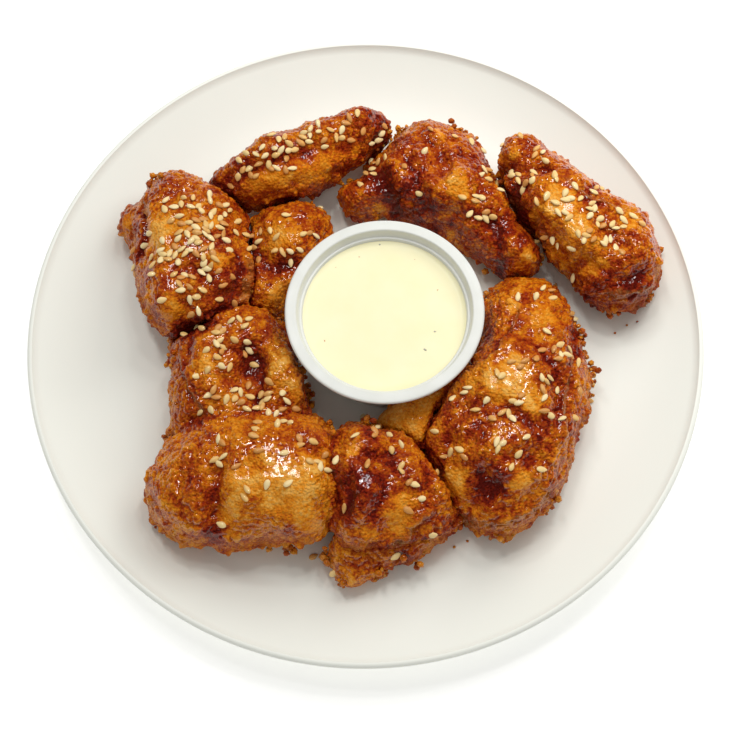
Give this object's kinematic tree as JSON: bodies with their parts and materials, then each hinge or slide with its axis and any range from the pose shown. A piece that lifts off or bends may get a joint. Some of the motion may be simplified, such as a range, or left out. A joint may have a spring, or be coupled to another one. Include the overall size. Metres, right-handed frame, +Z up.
{
  "type": "chicken wings serving",
  "caption": "Fried chicken wings in a sticky glaze, ringed round a portion cup of creamy dip on a round white dinner plate.",
  "frame": {"origin": "on the table under the middle of the plate, which rests on its foot ring", "axes": "+Z up; +Y away from the diner, towards twelve o'clock on the plate; +X to the diner's right"},
  "size_m": [0.26, 0.26, 0.0426],
  "materials": {
    "porcelain": "white porcelain glaze, glossy",
    "cup_plastic": "moulded white polypropylene, satin",
    "dip": "smooth creamy dip, moist; stands in for food",
    "glazed_chicken": "fried crust under a sticky amber glaze; stands in for food"
  },
  "bodies": {
    "root": {"plate": "porcelain", "dip_cup": "cup_plastic", "dip": "dip", "wing_11": "glazed_chicken", "wing_10": "glazed_chicken", "wing_10_inner": "glazed_chicken", "wing_8": "glazed_chicken", "wing_7": "glazed_chicken", "wing_6": "glazed_chicken", "wing_6_under": "glazed_chicken", "wing_5": "glazed_chicken", "wing_4": "glazed_chicken", "wing_2": "glazed_chicken", "wing_1": "glazed_chicken"}
  },
  "joints": []
}
